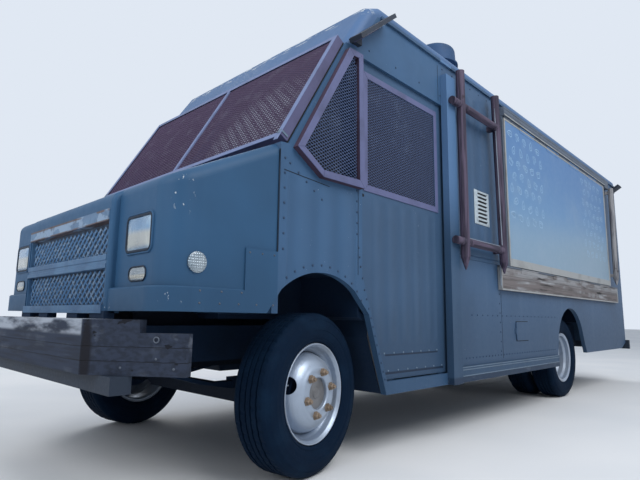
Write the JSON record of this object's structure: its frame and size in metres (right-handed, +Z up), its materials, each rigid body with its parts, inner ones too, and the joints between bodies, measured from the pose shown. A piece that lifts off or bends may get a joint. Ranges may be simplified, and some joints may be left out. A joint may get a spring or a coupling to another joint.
{
  "type": "food truck",
  "caption": "Walk-in van food truck with a side serving hatch, drop-leaf counter, sliding cab doors, steered front wheels and twin rear wheels.",
  "frame": {"origin": "on the ground under the middle of the truck's length and width", "axes": "+X forward to the nose, +Y to the driver's (left) side with the serving hatch, +Z up"},
  "size_m": [7.404, 2.325, 3.225],
  "materials": {
    "body_paint": "satin",
    "chassis_paint": "satin",
    "cast": "satin",
    "floor_metal": "satin",
    "grille_metal": "satin",
    "lamp": "gloss",
    "window_glass": "gloss",
    "screen_metal": "satin",
    "hatch_frame_metal": "satin",
    "hatch_picture": "satin",
    "counter_wood": "matte",
    "post_paint": "satin",
    "vent_plastic": "satin",
    "rail_paint": "satin",
    "bumper_wood": "matte",
    "bumper_metal": "satin",
    "fan_metal": "satin",
    "light_body": "satin",
    "wheel_steel": "satin",
    "tyre_rubber": "matte"
  },
  "bodies": {
    "truck": {"frame_rails": "chassis_paint", "axles": "cast", "wheel_houses": "chassis_paint", "leaf_springs": "chassis_paint", "engine": "cast", "floor": "floor_metal", "nose": "body_paint", "grille": "grille_metal", "lamps": "lamp", "cab_left": "body_paint", "cab_right": "body_paint", "cab_front": "body_paint", "fixed_glass": "window_glass", "screens": "screen_metal", "cargo_left": "body_paint", "cargo_right": "body_paint", "roof": "body_paint", "rear_frame": "body_paint", "hatch_frame": "hatch_frame_metal", "guard_bars": "post_paint", "vent": "vent_plastic", "side_rails": "rail_paint", "front_bumper": "bumper_wood", "bumper_steel": "bumper_metal", "roof_fan": "fan_metal", "floodlights": "light_body"},
    "steer_left": {"knuckle_left": "cast"},
    "steer_right": {"knuckle_right": "cast"},
    "wheel_front_left": {"rim_front_left": "wheel_steel", "tyre_front_left": "tyre_rubber"},
    "wheel_front_right": {"rim_front_right": "wheel_steel", "tyre_front_right": "tyre_rubber"},
    "wheels_rear_left": {"rims_rear_left": "wheel_steel", "tyres_rear_left": "tyre_rubber"},
    "wheels_rear_right": {"rims_rear_right": "wheel_steel", "tyres_rear_right": "tyre_rubber"},
    "cab_door_left": {"cab_door_left": "body_paint", "cab_door_left_glass": "window_glass"},
    "cab_door_right": {"cab_door_right": "body_paint", "cab_door_right_glass": "window_glass"},
    "rear_door_left": {"rear_door_left": "body_paint"},
    "rear_door_right": {"rear_door_right": "body_paint"},
    "hatch": {"hatch_panel": "hatch_picture"},
    "counter": {"counter_board": "counter_wood"},
    "fuel_flap": {"fuel_flap": "body_paint"}
  },
  "joints": [
    {"name": "steer_left", "type": "hinge", "parent": "truck", "child": "steer_left", "pos_m": [2.616, 0.8, 0.419], "axis": [0, 0, 1], "range_deg": [-39, 20.5]},
    {"name": "steer_right", "type": "hinge", "parent": "truck", "child": "steer_right", "pos_m": [2.616, -0.8, 0.419], "axis": [0, 0, 1], "range_deg": [-39, 20.5]},
    {"name": "spin_front_left", "type": "hinge", "parent": "steer_left", "child": "wheel_front_left", "pos_m": [2.59673, 0.91642, 0.419], "axis": [-0.1633, 0.9866, 0], "continuous": true},
    {"name": "spin_front_right", "type": "hinge", "parent": "steer_right", "child": "wheel_front_right", "pos_m": [2.63527, -0.91642, 0.419], "axis": [-0.1633, 0.9866, 0], "continuous": true},
    {"name": "spin_rear_left", "type": "hinge", "parent": "truck", "child": "wheels_rear_left", "pos_m": [-1.376, 0.869, 0.419], "axis": [0, 1, 0], "continuous": true},
    {"name": "spin_rear_right", "type": "hinge", "parent": "truck", "child": "wheels_rear_right", "pos_m": [-1.376, -0.869, 0.419], "axis": [0, 1, 0], "continuous": true},
    {"name": "cab_door_left_slide", "type": "slide", "parent": "truck", "child": "cab_door_left", "axis": [-1, 0, 0], "range_m": [0, 0.74]},
    {"name": "cab_door_right_slide", "type": "slide", "parent": "truck", "child": "cab_door_right", "axis": [-1, 0, 0], "range_m": [0, 0.74]},
    {"name": "rear_door_left_hinge", "type": "hinge", "parent": "truck", "child": "rear_door_left", "pos_m": [-3.657, 0.697, 1.7], "axis": [0, 0, -1], "range_deg": [0, 110]},
    {"name": "rear_door_right_hinge", "type": "hinge", "parent": "truck", "child": "rear_door_right", "pos_m": [-3.657, -0.697, 1.7], "axis": [0, 0, 1], "range_deg": [0, 110]},
    {"name": "hatch_lift", "type": "hinge", "parent": "truck", "child": "hatch", "pos_m": [-1.3485, 1.117, 2.6583], "axis": [1, 0, 0], "range_deg": [0, 88]},
    {"name": "counter_fold", "type": "hinge", "parent": "truck", "child": "counter", "pos_m": [-1.4015, 1.121, 1.268], "axis": [1, 0, 0], "range_deg": [0, 90]},
    {"name": "fuel_flap_hinge", "type": "hinge", "parent": "truck", "child": "fuel_flap", "pos_m": [0.118, 1.087, 0.72], "axis": [0, 0, -1], "range_deg": [0, 110]}
  ],
  "couplings": [
    {"joint": "steer_right", "follows": "steer_left", "ratio": 1}
  ]
}
